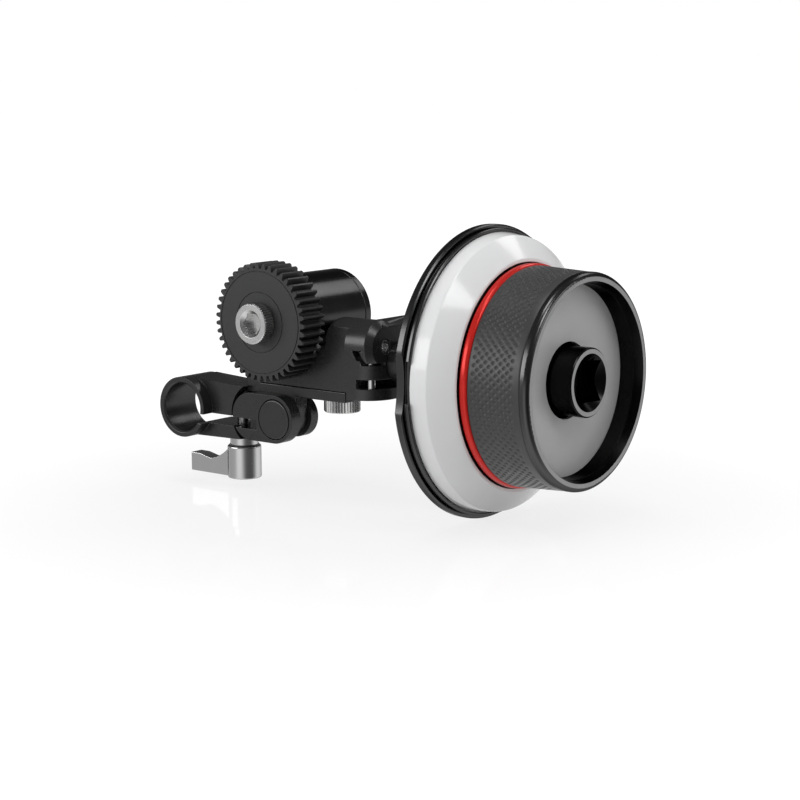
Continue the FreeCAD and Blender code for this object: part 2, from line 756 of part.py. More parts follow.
def pilot_bush():
    bush = rod_x(bush_r, pocket_left_end - bush_length, pocket_left_end, wheel_y, wheel_z)
    return bush.cut(rod_x(shaft_r + run_fit, 0, case_end_x, wheel_y, wheel_z))


def wheel_shaft():
    left = pocket_left_end - bush_length + 0.1
    shaft = rod_x(shaft_r, left, seat_x + hub_seat, wheel_y, wheel_z)
    collar = rod_x(neck_collar_r, neck_end_x + slide_gap, seat_x, wheel_y, wheel_z)
    hole_start = seat_x + hub_seat - hub_screw_length
    return shaft.fuse(collar).cut(rod_x(hub_screw_r + thread_fit, hole_start, seat_x + REACH,
                                        wheel_y, wheel_z))


def wheel_gear():
    gear = helical_gear(shaft_r + thread_fit)
    gear.Placement = FreeCAD.Placement(V(drum_x, wheel_y, wheel_z), FreeCAD.Rotation(Y_AXIS, 90))
    return gear


def shaft_clip():
    start = case_end_x + clip_recess
    clip = rod_x(clip_r, start, start + clip_thick - slide_gap, wheel_y, wheel_z)
    clip = clip.cut(rod_x(shaft_r + thread_fit, 0, neck_end_x, wheel_y, wheel_z))
    return clip.cut(box(0, neck_end_x, wheel_y - 1, wheel_y + 1, wheel_z, wheel_z + REACH))


# ---------------------------------------------------------------- thumb screw
def thumb_screw():
    top = rail_bottom_z - slide_gap
    head = knurled(thumb_r, thumb_height, thumb_knurl_count,
                   V(thumb_x, wheel_y, top - thumb_height), Z_AXIS)
    return head.fuse(rod_z(thumb_shank_r, top - 0.5, top + thumb_reach, thumb_x, wheel_y))


# ---------------------------------------------------------------- hand wheel
def magnet_places():
    turns = [math.radians(360 * (i + 0.5) / magnet_count) for i in range(magnet_count)]
    return [(wheel_y + magnet_circle_r * math.cos(t), wheel_z + magnet_circle_r * math.sin(t))
            for t in turns]


def disk_magnets():
    front = seat_x + backing_thick
    return Part.makeCompound([rod_x(magnet_r, front - magnet_thick, front, y, z)
                              for y, z in magnet_places()])


def backing_ring():
    groove_start = backing_edge + backing_bevel
    groove_r = backing_r - backing_groove_depth
    lip_front = backing_thick + lip_height
    profile = [(0, backing_bore_r), (0, backing_r - backing_bevel), (backing_bevel, backing_r),
               (backing_edge, backing_r), (groove_start, backing_r - backing_bevel),
               (groove_start, groove_r), (lip_start, groove_r), (lip_start, lip_r),
               (lip_front - lip_bevel, lip_r), (lip_front, lip_r - lip_bevel),
               (lip_front, lip_r - lip_wall), (backing_thick, lip_r - lip_wall),
               (backing_thick, backing_bore_r)]
    ring = wheel_ring(profile)
    scallop_y = wheel_y - backing_r + scallop_depth - scallop_r
    middle_z = wheel_z + scallop_z
    ring = ring.cut(rod_x(scallop_r, 0, 2 * seat_x, scallop_y, middle_z))
    ring = ring.cut(box(seat_x + groove_start, seat_x + REACH, wheel_y - backing_r, wheel_y - disk_r,
                        middle_z - lip_notch / 2, middle_z + lip_notch / 2))
    front = seat_x + backing_thick
    for y, z in magnet_places():
        ring = ring.cut(rod_x(magnet_r, front - magnet_thick, front, y, z))
    return ring


def marking_disk():
    back = backing_thick + disk_gap
    front = back + disk_front
    return wheel_ring([(back, disk_inner_r), (back, disk_r), (back + disk_edge, disk_r - disk_bevel),
                       (front, disk_inner_r + disk_front_width), (front, disk_inner_r)])


def knob_body():
    web_front = backing_thick + wheel_web
    cavity_r = plate_r - plate_ledge
    plate_back = plate_face - plate_thick
    profile = [(0, shaft_r + thread_fit), (0, backing_bore_r), (backing_thick, backing_bore_r),
               (backing_thick, seat_r), (seat_end, seat_r), (seat_end, sleeve_r),
               (rim_start, sleeve_r), (rim_start, plate_r), (plate_back, plate_r),
               (plate_back, cavity_r), (web_front, cavity_r), (web_front, wheel_boss_r),
               (hub_seat, wheel_boss_r), (hub_seat, shaft_r + thread_fit)]
    return wheel_ring(profile)


def rims(shape, r):
    return [e for e in shape.Edges if e.Closed and hasattr(e.Curve, "Radius")
            and abs(e.Curve.Radius - r) < 1e-6]


def red_ring():
    ring = wheel_ring([(seat_end, sleeve_r), (seat_end, red_r), (grip_start, red_r),
                       (grip_start, sleeve_r)])
    return ring.makeFillet(red_round, rims(ring, red_r))


def rubber_grip():
    return wheel_ring([(grip_start, sleeve_r), (grip_start, grip_rear_r), (rim_start, grip_front_r),
                       (rim_start, sleeve_r)])


def front_rim():
    rim = wheel_ring([(rim_start, plate_r), (rim_start, rim_r), (rim_face, rim_r),
                      (rim_face, rim_inner_r)])
    front = [e for e in rims(rim, rim_r) if abs(e.CenterOfMass.x - seat_x - rim_face) < 1e-6]
    return rim.makeFillet(rim_round, front)


def face_plate():
    back = plate_face - plate_thick
    return wheel_ring([(back, plate_hole_r), (back, plate_r), (plate_face, plate_r),
                       (plate_face, plate_hole_r)])


def port_prism(length):
    corners = [V(port_half, port_half, 0), V(-port_half, port_half, 0), V(-port_half, -port_half, 0),
               V(port_half, -port_half, 0)]
    sides = [V(0, port_half + port_bulge, 0), V(-port_half - port_bulge, 0, 0),
             V(0, -port_half - port_bulge, 0), V(port_half + port_bulge, 0, 0)]
    edges = [Part.Arc(corners[i], sides[i], corners[(i + 1) % 4]).toShape() for i in range(4)]
    prism = Part.Face(Part.Wire(edges)).extrude(V(0, 0, length))
    return prism


def drive_hub():
    face = hub_seat + drive_hub_length
    hub = wheel_ring([(hub_seat, 0), (hub_seat, wheel_boss_r), (face - hub_bevel, wheel_boss_r),
                      (face, wheel_boss_r - hub_bevel), (face, 0)])
    face_x = seat_x + face
    port = place(port_prism(port_depth), V(face_x - port_depth, wheel_y, wheel_z), X_AXIS)
    mouth = wheel_ring([(face - port_mouth, 0), (face - port_mouth, port_half),
                        (face, port_mouth_r), (face, 0)])
    head_start = seat_x + face - port_depth - hub_screw_head
    hub = hub.cut(port).cut(mouth)
    hub = hub.cut(rod_x(hub_screw_head_r + thread_fit, head_start, face_x, wheel_y, wheel_z))
    return hub.cut(rod_x(hub_screw_r + thread_fit, 0, face_x, wheel_y, wheel_z))


def hub_screw():
    start = seat_x + hub_seat + drive_hub_length - port_depth - hub_screw_head
    head = rod_x(hub_screw_head_r, start, start + hub_screw_head, wheel_y, wheel_z)
    shank_end = seat_x + hub_seat - hub_screw_length + 0.2
    shank = rod_x(hub_screw_r, shank_end, start, wheel_y, wheel_z)
    socket = hex_prism(3.0, 1.3, V(start + hub_screw_head - 1.3, wheel_y, wheel_z), X_AXIS)
    return head.fuse(shank).cut(socket)


# ---------------------------------------------------------------- export
builders = {
    "clamp_body": clamp_body, "pivot_plug": pivot_plug, "push_button": push_button,
    "button_spring": button_spring, "clamp_screw": clamp_screw, "clamp_collar": clamp_collar,
    "seal_ring": seal_ring, "clamp_lever": clamp_lever, "lever_screw": lever_screw,
    "lever_spring": lever_spring, "swing_arm": swing_arm, "carriage": carriage,
    "pinch_screw": pinch_screw, "nose_screw": nose_screw, "thumb_screw": thumb_screw,
    "drum_housing": drum_housing, "drum_end_cap": drum_end_cap, "drum_cap_screws": drum_cap_screws,
    "output_shaft": output_shaft, "output_gear": output_gear, "drive_gear": drive_gear,
    "gear_screw": gear_screw, "spindle_housing": spindle_housing, "pilot_bush": pilot_bush,
    "wheel_shaft": wheel_shaft, "wheel_gear": wheel_gear, "shaft_clip": shaft_clip,
    "backing_ring": backing_ring, "disk_magnets": disk_magnets, "marking_disk": marking_disk,
    "knob_body": knob_body, "red_ring": red_ring, "rubber_grip": rubber_grip,
    "front_rim": front_rim, "face_plate": face_plate, "drive_hub": drive_hub,
    "hub_screw": hub_screw,
}
for node, build in builders.items():
    save(build(), node)

rear_start = drum_length - bearing_gap - bearing_width
inner_start = case_end_x + clip_recess + clip_thick
outer_start = neck_end_x - neck_bearing_width
save(shaft_bearing(rod_y, bearing_r, bearing_width, drum_lip, drum_x, drum_z), "front_bearing")
save(shaft_bearing(rod_y, bearing_r, bearing_width, rear_start, drum_x, drum_z), "rear_bearing")
save(shaft_bearing(rod_x, neck_bearing_r, neck_bearing_width, inner_start, wheel_y, wheel_z), "inner_bearing")
save(shaft_bearing(rod_x, neck_bearing_r, neck_bearing_width, outer_start, wheel_y, wheel_z), "outer_bearing")
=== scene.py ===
import bpy
import bmesh
import json
import math
from itertools import combinations
from mathutils import Matrix, Vector

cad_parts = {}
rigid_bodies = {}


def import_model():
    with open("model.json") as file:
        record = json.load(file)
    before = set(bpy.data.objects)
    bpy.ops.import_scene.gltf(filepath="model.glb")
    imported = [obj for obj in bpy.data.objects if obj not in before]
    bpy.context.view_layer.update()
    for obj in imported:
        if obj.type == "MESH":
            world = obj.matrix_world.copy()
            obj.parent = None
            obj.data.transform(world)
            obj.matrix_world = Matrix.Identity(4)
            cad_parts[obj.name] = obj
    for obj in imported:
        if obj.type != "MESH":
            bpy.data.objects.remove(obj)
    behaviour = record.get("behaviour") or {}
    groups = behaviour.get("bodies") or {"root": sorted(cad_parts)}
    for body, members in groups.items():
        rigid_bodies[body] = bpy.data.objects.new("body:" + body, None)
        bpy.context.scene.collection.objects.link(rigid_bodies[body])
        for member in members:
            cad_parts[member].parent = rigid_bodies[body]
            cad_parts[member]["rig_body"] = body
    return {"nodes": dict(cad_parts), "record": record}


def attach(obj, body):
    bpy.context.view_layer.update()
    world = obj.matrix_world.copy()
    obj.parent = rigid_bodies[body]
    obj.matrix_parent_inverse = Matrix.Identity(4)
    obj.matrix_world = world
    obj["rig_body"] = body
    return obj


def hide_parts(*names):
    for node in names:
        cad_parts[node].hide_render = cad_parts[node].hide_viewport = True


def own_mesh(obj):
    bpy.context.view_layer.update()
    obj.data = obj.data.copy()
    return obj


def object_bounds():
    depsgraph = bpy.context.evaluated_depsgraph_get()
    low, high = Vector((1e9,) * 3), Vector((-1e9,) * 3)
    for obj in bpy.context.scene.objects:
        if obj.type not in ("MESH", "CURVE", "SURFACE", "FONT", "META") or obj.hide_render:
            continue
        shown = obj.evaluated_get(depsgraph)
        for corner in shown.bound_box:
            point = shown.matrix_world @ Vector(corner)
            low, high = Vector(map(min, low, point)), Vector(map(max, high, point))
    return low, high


# Follow focus unit: finishes, eased copies of the machined parts, the grip, the marking disk and
# the studio. X runs along the hand wheel's axis, Y along the rod and the drive gear, Z is up.

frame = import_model()
nodes = frame["nodes"]
slots = {part["node"]: part["material_slot"] for part in frame["record"]["subparts"]}
cad_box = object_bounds()
MM = 0.001
WHEEL_Y = 12.05 * MM
WHEEL_Z = 18.2863 * MM
GEAR_X = 35.9 * MM
GEAR_Z = 29.6 * MM
SCREW_X = 17.2 * MM
SCREW_Y = 2.75 * MM
X_AXIS = Vector((1, 0, 0))
Z_AXIS = Vector((0, 0, 1))
NOISE_BAND = (0.3, 0.7)                 # the part of a noise's range that its values fill
WELD = 0.002 * MM                       # corners closer than this are one corner
SLIVER = 0.02 * MM                      # edges shorter than this are closed up
FLAT_ANGLE = math.radians(0.1)          # faces that turn less than this are one face
SHARP_ANGLE = math.radians(35)          # edges that turn more than this are eased
NARROW_ANGLE = math.radians(25)         # edges closer than this at a corner leave no room to ease
CURVE_ANGLE = 0.02                      # faces that turn more than this, in radians, are a curve
SQUARE_ON = 0.99                        # least share of an axis in a normal that faces it


# ---------------------------------------------------------------- finishes
def new_finish(name, color, roughness, metallic=0.0):
    finish = bpy.data.materials.new(name)
    finish.use_nodes = True
    tree = finish.node_tree
    shader = tree.nodes["Principled BSDF"]
    shader.inputs["Base Color"].default_value = (*color, 1)
    shader.inputs["Roughness"].default_value = roughness
    shader.inputs["Metallic"].default_value = metallic
    if metallic:
        shader.inputs["Specular Tint"].default_value = (0.4, 0.4, 0.4, 1)
    place = tree.nodes.new("ShaderNodeTexCoord")
    return finish, tree, shader, place


def add_noise(tree, place, scale, detail=4.0):
    noise = tree.nodes.new("ShaderNodeTexNoise")
    noise.inputs["Scale"].default_value = scale
    noise.inputs["Detail"].default_value = detail
    tree.links.new(place.outputs["Object"], noise.inputs["Vector"])
    return noise


def add_rings(tree, place, centre, turn_axis, pitch):
    centring = tree.nodes.new("ShaderNodeMapping")
    centring.inputs["Location"].default_value = [-c for c in centre]
    tree.links.new(place.outputs["Object"], centring.inputs["Vector"])
    rings = tree.nodes.new("ShaderNodeTexWave")
    rings.wave_type = "RINGS"
    rings.rings_direction = turn_axis
    rings.inputs["Scale"].default_value = 0.314 / pitch
    rings.inputs["Distortion"].default_value = 0.6
    rings.inputs["Detail Scale"].default_value = 60
    tree.links.new(centring.outputs["Vector"], rings.inputs["Vector"])
    return rings


def vary(tree, source, target, low, high):
    span = tree.nodes.new("ShaderNodeMapRange")
    span.inputs["From Min"].default_value, span.inputs["From Max"].default_value = NOISE_BAND
    span.inputs["To Min"].default_value = low
    span.inputs["To Max"].default_value = high
    tree.links.new(source, span.inputs["Value"])
    tree.links.new(span.outputs["Result"], target)


def add_bump(tree, source, shader, depth):
    bump = tree.nodes.new("ShaderNodeBump")
    bump.inputs["Distance"].default_value = depth
    tree.links.new(source, bump.inputs["Height"])
    tree.links.new(bump.outputs["Normal"], shader.inputs["Normal"])


def tint(tree, source, shader, dark, light):
    ramp = tree.nodes.new("ShaderNodeValToRGB")
    for stop, position, color in zip(ramp.color_ramp.elements, NOISE_BAND, (dark, light)):
        stop.position = position
        stop.color = (*color, 1)
    tree.links.new(source, ramp.inputs["Fac"])
    tree.links.new(ramp.outputs["Color"], shader.inputs["Base Color"])


def blasted_black(name, shade, roughness, metallic, grain):
    finish, tree, shader, place = new_finish(name, (shade,) * 3, roughness, metallic)
    fine = add_noise(tree, place, 9000, 2.0)
    broad = add_noise(tree, place, 180, 3.0)
    vary(tree, broad.outputs["Fac"], shader.inputs["Roughness"], roughness - 0.03, roughness + 0.04)
    tint(tree, fine.outputs["Fac"], shader, (shade * 0.85,) * 3, (shade * 1.2,) * 3)
    add_bump(tree, fine.outputs["Fac"], shader, grain)
    return finish


def polished_black(name, shade, roughness):
    finish, tree, shader, place = new_finish(name, (shade,) * 3, roughness, 1.0)
    broad = add_noise(tree, place, 140, 4.0)
    fine = add_noise(tree, place, 6000, 1.0)
    vary(tree, broad.outputs["Fac"], shader.inputs["Roughness"], roughness - 0.02, roughness + 0.03)
    tint(tree, fine.outputs["Fac"], shader, (shade * 0.9,) * 3, (shade * 1.1,) * 3)
    return finish


def turned_metal(name, color, roughness, pitch, turn_axis, centre):
    finish, tree, shader, place = new_finish(name, color, roughness, 1.0)
    rings = add_rings(tree, place, centre, turn_axis, pitch)
    vary(tree, rings.outputs["Fac"], shader.inputs["Roughness"], roughness - 0.05, roughness + 0.08)
    tint(tree, rings.outputs["Fac"], shader, [c * 0.82 for c in color], color)
    add_bump(tree, rings.outputs["Fac"], shader, 0.000004)
    return finish


def satin_metal(name, color, roughness):
    finish, tree, shader, place = new_finish(name, color, roughness, 1.0)
    fine = add_noise(tree, place, 7000, 2.0)
    broad = add_noise(tree, place, 150, 3.0)
    vary(tree, broad.outputs["Fac"], shader.inputs["Roughness"], roughness - 0.04, roughness + 0.06)
    tint(tree, fine.outputs["Fac"], shader, [c * 0.92 for c in color], color)
    add_bump(tree, fine.outputs["Fac"], shader, 0.000006)
    return finish


def write_on_plastic(name):
    finish, tree, shader, place = new_finish(name, (0.78, 0.785, 0.79), 0.13)
    broad = add_noise(tree, place, 60, 4.0)
    fine = add_noise(tree, place, 3500, 2.0)
    vary(tree, broad.outputs["Fac"], shader.inputs["Roughness"], 0.11, 0.15)
    tint(tree, broad.outputs["Fac"], shader, (0.765, 0.77, 0.775), (0.785, 0.79, 0.795))
    add_bump(tree, fine.outputs["Fac"], shader, 0.000001)
    return finish


def moulded_rubber(name):
    finish, tree, shader, place = new_finish(name, (0.04, 0.04, 0.041), 0.36)
    fine = add_noise(tree, place, 5200, 3.0)
    broad = add_noise(tree, place, 200, 2.0)
    vary(tree, broad.outputs["Fac"], shader.inputs["Roughness"], 0.3, 0.42)
    tint(tree, fine.outputs["Fac"], shader, (0.034,) * 3, (0.048,) * 3)
    add_bump(tree, fine.outputs["Fac"], shader, 0.00001)
    return finish


def red_anodise(name):
    finish, tree, shader, place = new_finish(name, (0.64, 0.02, 0.014), 0.22, 0.3)
    shader.inputs["Specular IOR Level"].default_value = 0.85
    broad = add_noise(tree, place, 300, 3.0)
    vary(tree, broad.outputs["Fac"], shader.inputs["Roughness"], 0.2, 0.27)
    tint(tree, broad.outputs["Fac"], shader, (0.62, 0.018, 0.013), (0.67, 0.022, 0.016))
    return finish


finishes = {
    "black_anodised": blasted_black("black_anodised", 0.06, 0.28, 0.7, 0.000004),
    "black_gloss": polished_black("black_gloss", 0.062, 0.19),
    "black_nylon": blasted_black("black_nylon", 0.021, 0.42, 0.0, 0.000008),
    "satin_silver": satin_metal("satin_silver", (0.64, 0.64, 0.645), 0.2),
    "bright_steel": satin_metal("bright_steel", (0.72, 0.72, 0.715), 0.24),
    "dark_steel": satin_metal("dark_steel", (0.24, 0.24, 0.245), 0.24),
    "spring_steel": satin_metal("spring_steel", (0.3, 0.3, 0.32), 0.3),
    "brass": satin_metal("brass", (0.55, 0.36, 0.11), 0.3),
    "bronze": satin_metal("bronze", (0.3, 0.17, 0.07), 0.42),
    "white_plastic": write_on_plastic("white_plastic"),
    "red_anodised": red_anodise("red_anodised"),
    "black_rubber": moulded_rubber("black_rubber"),
}
grey_plate = blasted_black("grey_plate", 0.43, 0.5, 0.3, 0.000004)
rim_black = polished_black("rim_black", 0.085, 0.22)
# Painted shade: a darker black on the knob body, the hub's sides and the rim's inner wall, for the shade
# in the wheel's recess.
recess_shade_black = polished_black("recess_shade_black", 0.018, 0.25)
machined_black = blasted_black("machined_black", 0.3, 0.3, 1.0, 0.000002)
bright_slit = blasted_black("bright_slit", 0.3, 0.15, 1.0, 0.000002)
turned_steel = turned_metal("turned_steel", (0.72, 0.72, 0.715), 0.26, 0.00022, "Y", (GEAR_X, 0, GEAR_Z))


def dress(piece, finish):
    piece.data.materials.clear()
    piece.data.materials.append(finish)


for node, slot in slots.items():
    dress(nodes[node], finishes[slot])


# ---------------------------------------------------------------- pieces
def new_piece(name, mesh, node, finish):
    piece = bpy.data.objects.new(name, mesh)
    bpy.context.scene.collection.objects.link(piece)
    dress(piece, finish or finishes[slots[node]])
    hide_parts(node)
    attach(piece, nodes[node]["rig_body"])
    return piece


def soften_edges(piece, width, steps=2, clamp=False, limit="ANGLE"):
    ease = piece.modifiers.new("soft_edges", "BEVEL")
    ease.width = width * MM
    ease.segments = steps
    ease.limit_method = limit
    ease.angle_limit = SHARP_ANGLE
    ease.use_clamp_overlap = clamp
    ease.harden_normals = True


def merged_copy(node):
    mesh = nodes[node].data.copy()
    mesh.attributes.remove(mesh.attributes["custom_normal"])
    shape = bmesh.new()
    shape.from_mesh(mesh)
    bmesh.ops.remove_doubles(shape, verts=shape.verts, dist=WELD)
    return mesh, shape


def smooth_faces(shape):
    for face in shape.faces:
        face.smooth = True


def store(shape, mesh):
    shape.to_mesh(mesh)
    shape.free()


# Marks the sharp edges that have room to be eased, and leaves the others crisp.
def choose_edges(shape, width):
    bmesh.ops.triangulate(shape, faces=[face for face in shape.faces if len(face.verts) > 4])
    weight = shape.edges.layers.float.new("bevel_weight_edge")
    sharp = {edge for edge in shape.edges
             if len(edge.link_faces) == 2 and edge.calc_face_angle(0) > SHARP_ANGLE}
    crowded = set()
    for vert in shape.verts:
        meeting = [edge for edge in vert.link_edges if edge in sharp]
        ways = [edge.other_vert(vert).co - vert.co for edge in meeting]
        narrow = any(one.angle(other) < NARROW_ANGLE for one, other in combinations(ways, 2))
        cramped = len(meeting) > 2 and min(edge.calc_length() for edge in meeting) < 1.3 * width * MM
        if narrow or cramped or len(meeting) > 4:
            crowded.add(vert)
    for edge in sharp:
        edge.smooth = crowded.isdisjoint(edge.verts)
        edge[weight] = float(edge.smooth)
    for face in shape.faces:
        face.smooth = any(CURVE_ANGLE < edge.calc_face_angle(0) < SHARP_ANGLE for edge in face.edges)


def soft_copy(node, width, finish=None, clamp=False, chosen=False):
    mesh, shape = merged_copy(node)
    bmesh.ops.dissolve_limit(shape, angle_limit=FLAT_ANGLE, verts=shape.verts, edges=shape.edges)
    bmesh.ops.dissolve_degenerate(shape, edges=shape.edges, dist=SLIVER)
    if chosen:
        choose_edges(shape, width)
    else:
        smooth_faces(shape)
    store(shape, mesh)
    piece = new_piece(node + "_eased", mesh, node, finish)
    soften_edges(piece, width, clamp=clamp, limit="WEIGHT" if chosen else "ANGLE")
    return piece


# A spring's merged, smoothly shaded copy with a mesh of its own.
def coil(node):
    mesh, shape = merged_copy(node)
    smooth_faces(shape)
    store(shape, mesh)
    piece = new_piece(node + "_coil", mesh, node, None)
    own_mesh(piece)


def machine_faces(piece, finish, chosen):
    piece.data.materials.append(finish)
    for face in piece.data.polygons:
        if chosen(face.normal, face.center / MM):
            face.material_index = len(piece.data.materials) - 1


def faces_outward(normal, centre):
    return normal.x > SQUARE_ON


def is_slit_floor(normal, centre):
    return normal.z > SQUARE_ON and -5 < centre.z < -4


# Faces that look towards the wheel's axis, the rim's inner wall, which gets painted shade.
def faces_axis(normal, centre):
    inward = Vector((0, WHEEL_Y / MM - centre.y, WHEEL_Z / MM - centre.z))
    return normal.dot(inward.normalized()) > 0.6


# Spins an outline of (place along the axis, radius) pairs, in millimetres, into a closed piece.
def turned(name, node, outline, steps, finish=None, centre=(0, WHEEL_Y, WHEEL_Z), along=X_AXIS,
           out=Z_AXIS):
    shape = bmesh.new()
    centre = Vector(centre)
    corners = [shape.verts.new(centre + along * step * MM + out * radius * MM)
               for step, radius in outline]
    edges = [shape.edges.new(pair) for pair in zip(corners, corners[1:] + corners[:1])]
    bmesh.ops.spin(shape, geom=corners + edges, cent=centre, axis=along, angle=math.tau, steps=steps,
                   use_merge=True)
    bmesh.ops.remove_doubles(shape, verts=shape.verts, dist=WELD / 2)
    bmesh.ops.recalc_face_normals(shape, faces=shape.faces)
    smooth_faces(shape)
    mesh = bpy.data.meshes.new(name)
    store(shape, mesh)
    return new_piece(name, mesh, node, finish)


# A slightly conical sleeve with staggered four-sided pits, each cut in a cell that joins the corners
# of two rows.
def knurled_grip():
    pits_round, rows, row_pitch = 84, 13, 1.21
    columns = pits_round * 2
    rear_x, front_x = 119.9, 136.6
    inner_r, rear_r, front_r = 29.3, 31.55, 30.75
    land, pit_wall, pit_depth = 0.34, 0.25, 0.3
    end_drop, end_ease, front_band = 0.35, 0.05, 0.9
    skin_r = 30.0
    on_row = 0.01
    first_row = rear_x + 0.55
    outline = [(rear_x, inner_r), (rear_x, rear_r - end_drop), (rear_x + end_ease, rear_r - end_ease)]
    for row in range(rows):
        x = first_row + row * row_pitch
        outline.append((x, rear_r + (front_r - rear_r) * (x - rear_x) / (front_x - rear_x)))
    outline += [(front_x - front_band, front_r), (front_x - 2 * end_ease, front_r - end_ease),
                (front_x, front_r - end_drop), (front_x, inner_r)]
    piece = turned("knurled_grip", "rubber_grip", outline, columns)
    shape = bmesh.new()
    shape.from_mesh(piece.data)
    corners, centres = [], []
    for vert in shape.verts:
        row = (vert.co.x / MM - first_row) / row_pitch
        reach = Vector((0, vert.co.y - WHEEL_Y, vert.co.z - WHEEL_Z))
        in_rows = abs(row - round(row)) < on_row and -on_row < row < rows - 1 + on_row
        if in_rows and reach.length > skin_r * MM:
            column = round(math.atan2(reach.y, reach.z) / math.tau * columns)
            if (column + round(row)) % 2 == 0:
                corners.append(vert)
            elif 0 < round(row) < rows - 1:
                centres.append(vert)
    bmesh.ops.connect_verts(shape, verts=corners)
    bmesh.ops.dissolve_verts(shape, verts=centres)
    at_corner = set(corners)
    cells = [face for face in shape.faces
             if len(face.verts) == 4 and all(vert in at_corner for vert in face.verts)]
    bmesh.ops.inset_individual(shape, faces=cells, thickness=land * MM)
    bmesh.ops.inset_individual(shape, faces=cells, thickness=pit_wall * MM, depth=-pit_depth * MM)
    smooth_faces(shape)
    store(shape, piece.data)
    round_off = piece.modifiers.new("round_off", "SUBSURF")
    round_off.levels = 1
    round_off.render_levels = 1


def marking_disk():
    outline = [(107.05, 32.6), (107.05, 40.3), (112.1, 39.6), (114.7, 36.6), (117.25, 33.3),
               (117.25, 32.3), (116.0, 32.3), (115.0, 32.6)]
    soften_edges(turned("write_on_disk", "marking_disk", outline, 240), 0.25, steps=3)


def face_plate():
    outline = [(130.4, 10.9), (131.9, 10.9), (131.9, 27.4), (130.4, 27.4)]
    soften_edges(turned("blasted_plate", "face_plate", outline, 192, grey_plate), 0.12)


def screw_collar():
    outline = [(-8.75, 2.05), (-8.75, 3.45), (-8.9, 3.45), (-8.9, 4.4), (-11.1, 4.4), (-11.1, 2.05)]
    soften_edges(turned("screw_collar", "clamp_collar", outline, 96, centre=(SCREW_X, SCREW_Y, 0),
                        along=Z_AXIS, out=X_AXIS), 0.06)


soft_copy("carriage", 0.2, chosen=True)
for node, width in (("swing_arm", 0.35), ("clamp_lever", 0.25), ("push_button", 0.3),
                    ("drive_gear", 0.08), ("thumb_screw", 0.06), ("drum_housing", 0.15),
                    ("drum_end_cap", 0.4), ("spindle_housing", 0.15)):
    soft_copy(node, width)
soft_copy("nose_screw", 0.25, finishes["satin_silver"])
soft_copy("backing_ring", 0.12, rim_black)
# Painted shade: the knob body, seen inside the recess and behind the red ring, in the darker recess
# black.
soft_copy("knob_body", 0.15, recess_shade_black)
coil("lever_spring")
coil("button_spring")
screw_collar()
# Painted shade on the hub's sides; its front faces get the machined finish.
machine_faces(soft_copy("drive_hub", 0.15, recess_shade_black, clamp=True), machined_black, faces_outward)
rim = soft_copy("front_rim", 0.15, rim_black)
machine_faces(rim, machined_black, faces_outward)
# Painted shade on the rim's inner wall, the faces that look towards the axis.
machine_faces(rim, recess_shade_black, faces_axis)
machine_faces(soft_copy("clamp_body", 0.15, chosen=True), bright_slit, is_slit_floor)
soft_copy("gear_screw", 0.06, turned_steel)
knurled_grip()
marking_disk()
face_plate()


# ---------------------------------------------------------------- studio
# White to the camera away from the object, and under it a little glossy and darker, partly from the real
# shadow and partly from painted shade where the glow dims towards the object; clear to glossy rays,
# which see the world's backdrop instead.
def studio_floor():
    lowest = cad_box[0][2]
    floor_gap = 0.3 * MM
    painted_shade_centre = (0.065, 0.01, 0)
    mesh = bpy.data.meshes.new("floor")
    shape = bmesh.new()
    bmesh.ops.create_grid(shape, x_segments=1, y_segments=1, size=4.0)
    bmesh.ops.translate(shape, verts=shape.verts, vec=(0, 0, lowest - floor_gap))
    store(shape, mesh)
    floor = bpy.data.objects.new("floor", mesh)
    bpy.context.scene.collection.objects.link(floor)
    finish = bpy.data.materials.new("pale_floor")
    finish.use_nodes = True
    tree = finish.node_tree
    tree.nodes.clear()
    out = tree.nodes.new("ShaderNodeOutputMaterial")
    matte = tree.nodes.new("ShaderNodeBsdfDiffuse")
    matte.inputs["Color"].default_value = (0.8, 0.8, 0.8, 1)
    sheen = tree.nodes.new("ShaderNodeBsdfGlossy")
    sheen.inputs["Roughness"].default_value = 0.06
    base = tree.nodes.new("ShaderNodeMixShader")
    base.inputs["Fac"].default_value = 0.25
    tree.links.new(matte.outputs[0], base.inputs[1])
    tree.links.new(sheen.outputs[0], base.inputs[2])
    place = tree.nodes.new("ShaderNodeTexCoord")
    away = tree.nodes.new("ShaderNodeVectorMath")
    away.operation = "DISTANCE"
    away.inputs[1].default_value = painted_shade_centre
    tree.links.new(place.outputs["Object"], away.inputs[0])
    # Painted shade: the glow dims from 1.0 far off to 0.8 near the object's middle.
    level = tree.nodes.new("ShaderNodeMapRange")
    level.inputs["From Min"].default_value = 0.07
    level.inputs["From Max"].default_value = 0.26
    level.inputs["To Min"].default_value = 0.8
    level.inputs["To Max"].default_value = 1.0
    tree.links.new(away.outputs["Value"], level.inputs["Value"])
    glow = tree.nodes.new("ShaderNodeEmission")
    tree.links.new(level.outputs["Result"], glow.inputs["Strength"])
    thin = tree.nodes.new("ShaderNodeMixShader")
    thin.inputs["Fac"].default_value = 0.22
    tree.links.new(base.outputs[0], thin.inputs[2])
    white = tree.nodes.new("ShaderNodeAddShader")
    tree.links.new(thin.outputs[0], white.inputs[0])
    tree.links.new(glow.outputs[0], white.inputs[1])
    clear = tree.nodes.new("ShaderNodeBsdfTransparent")
    tree.links.new(sort_rays(tree, base, clear, white), out.inputs["Surface"])
    dress(floor, finish)


# A level that goes from low to high as the heading turns towards a direction.
def ramp_along(tree, heading, direction, near, far, low, high):
    facing = tree.nodes.new("ShaderNodeVectorMath")
    facing.operation = "DOT_PRODUCT"
    facing.inputs[1].default_value = direction
    tree.links.new(heading, facing.inputs[0])
    level = tree.nodes.new("ShaderNodeMapRange")
    level.interpolation_type = "SMOOTHSTEP"
    level.inputs["From Min"].default_value = near
    level.inputs["From Max"].default_value = far
    level.inputs["To Min"].default_value = low
    level.inputs["To Max"].default_value = high
    tree.links.new(facing.outputs["Value"], level.inputs["Value"])
    return level.outputs["Result"]


